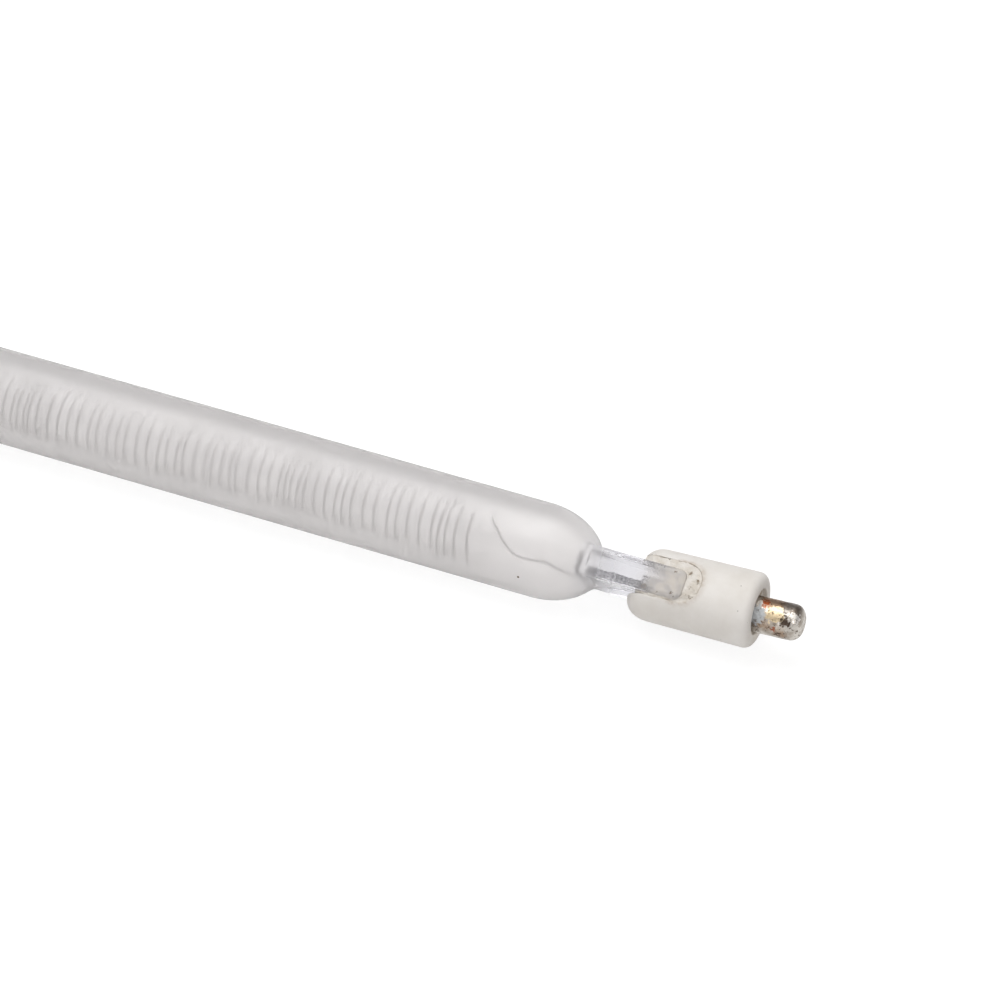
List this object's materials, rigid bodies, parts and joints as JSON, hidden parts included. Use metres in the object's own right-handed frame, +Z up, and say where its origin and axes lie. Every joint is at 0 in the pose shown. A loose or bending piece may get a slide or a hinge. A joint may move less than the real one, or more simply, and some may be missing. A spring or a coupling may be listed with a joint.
{
  "type": "infrared heater tube",
  "caption": "Frosted quartz heater tube with a fine coil inside, flat pinch seals, forked ceramic end caps and worn round contact pins.",
  "frame": {"origin": "on the tube's axis at the middle of its length, which is the centre of its box", "axes": "+X along the tube towards the end that the picture shows, +Z up as it lies on its side against its pip"},
  "size_m": [0.2414, 0.0104, 0.0104],
  "materials": {
    "quartz": "fused quartz, satin frosted on the tube and clear at the seals",
    "resistance_wire": "drawn resistance wire, dull grey",
    "molybdenum": "rolled and drawn molybdenum, grey",
    "steatite": "pressed and fired unglazed ceramic, warm white, matte",
    "cement": "cast refractory cement, off-white with brown stains",
    "nickel_plate": "nickel plating, worn and tarnished, with brown and golden patches"
  },
  "bodies": {
    "root": {"quartz_tube": "quartz", "heating_coil": "resistance_wire", "seal_foil_right": "molybdenum", "outer_lead_right": "molybdenum", "ceramic_cap_right": "steatite", "cap_cement_right": "cement", "contact_pin_right": "nickel_plate", "pin_cement_right": "cement", "seal_foil_left": "molybdenum", "outer_lead_left": "molybdenum", "ceramic_cap_left": "steatite", "cap_cement_left": "cement", "contact_pin_left": "nickel_plate", "pin_cement_left": "cement"}
  },
  "joints": []
}
